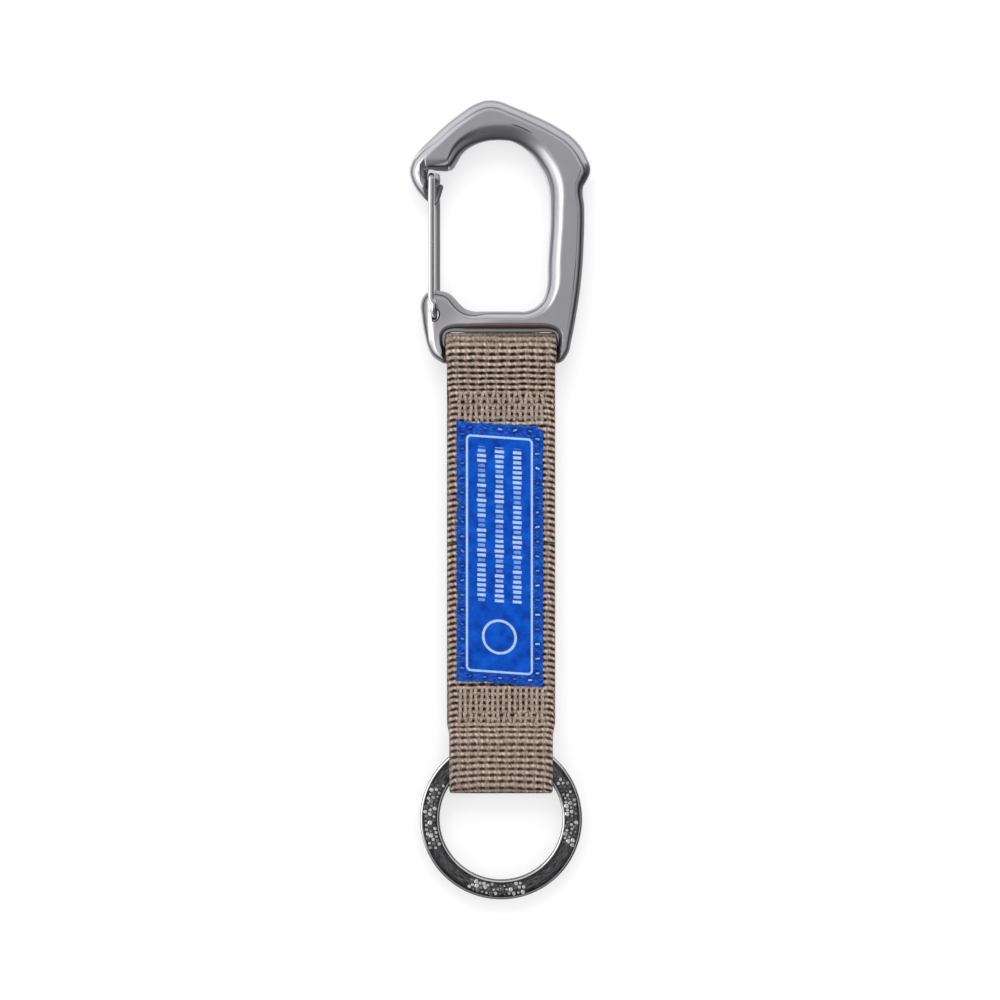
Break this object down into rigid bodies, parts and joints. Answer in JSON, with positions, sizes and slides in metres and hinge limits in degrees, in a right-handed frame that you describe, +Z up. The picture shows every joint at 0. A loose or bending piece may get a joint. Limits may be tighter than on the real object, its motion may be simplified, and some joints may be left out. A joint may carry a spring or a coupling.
{
  "type": "hook keyring",
  "caption": "Hook keyring: a cast snap hook with a wire gate, a sewn webbing strap with a plain woven label, and a flat split ring.",
  "frame": {"origin": "on the table, under the middle of the whole object as it lies flat", "axes": "+Y along the strap towards the hook, +X across the strap away from the gate, +Z up from the table"},
  "size_m": [0.0335, 0.148, 0.006],
  "materials": {
    "satin_metal": "cast metal with a satin sheen",
    "gate_steel": "bright drawn spring wire",
    "webbing": "coarse ribbed beige webbing",
    "tack_thread": "beige sewing thread",
    "label": "blue woven patch",
    "label_thread": "blue sewing thread",
    "black_nickel": "polished black nickel plate"
  },
  "bodies": {
    "hook": {"hook_body": "satin_metal"},
    "gate": {"gate_wire": "gate_steel"},
    "strap": {"strap_webbing": "webbing", "label_patch": "label", "label_stitching": "label_thread", "upper_tack_short": "tack_thread", "upper_tack_tall": "tack_thread", "lower_tack_tall": "tack_thread", "lower_tack_short": "tack_thread"},
    "ring_loop": {"ring_loop_webbing": "webbing"},
    "ring": {"split_ring": "black_nickel"}
  },
  "joints": [
    {"name": "gate_hinge", "type": "hinge", "parent": "hook", "child": "gate", "pos_m": [-0.01219, 0.03387, 0.003], "axis": [0, 0, -1], "range_deg": [0, 45], "stiffness_Nm_per_rad": 0.08, "springref_deg": -20.05},
    {"name": "strap_swing", "type": "hinge", "parent": "hook", "child": "strap", "pos_m": [0.0002, 0.02671, 0.003], "axis": [-1, 0, 0], "range_deg": [-130, 130]},
    {"name": "ring_loop_fold", "type": "hinge", "parent": "strap", "child": "ring_loop", "pos_m": [0.0002, -0.04189, 0.003], "axis": [-1, 0, 0], "range_deg": [-65, 60]},
    {"name": "ring_spin", "type": "hinge", "parent": "ring_loop", "child": "ring", "pos_m": [0.0002, -0.05903, 0.00207], "axis": [0, -0.0544, 0.9985], "continuous": true}
  ]
}
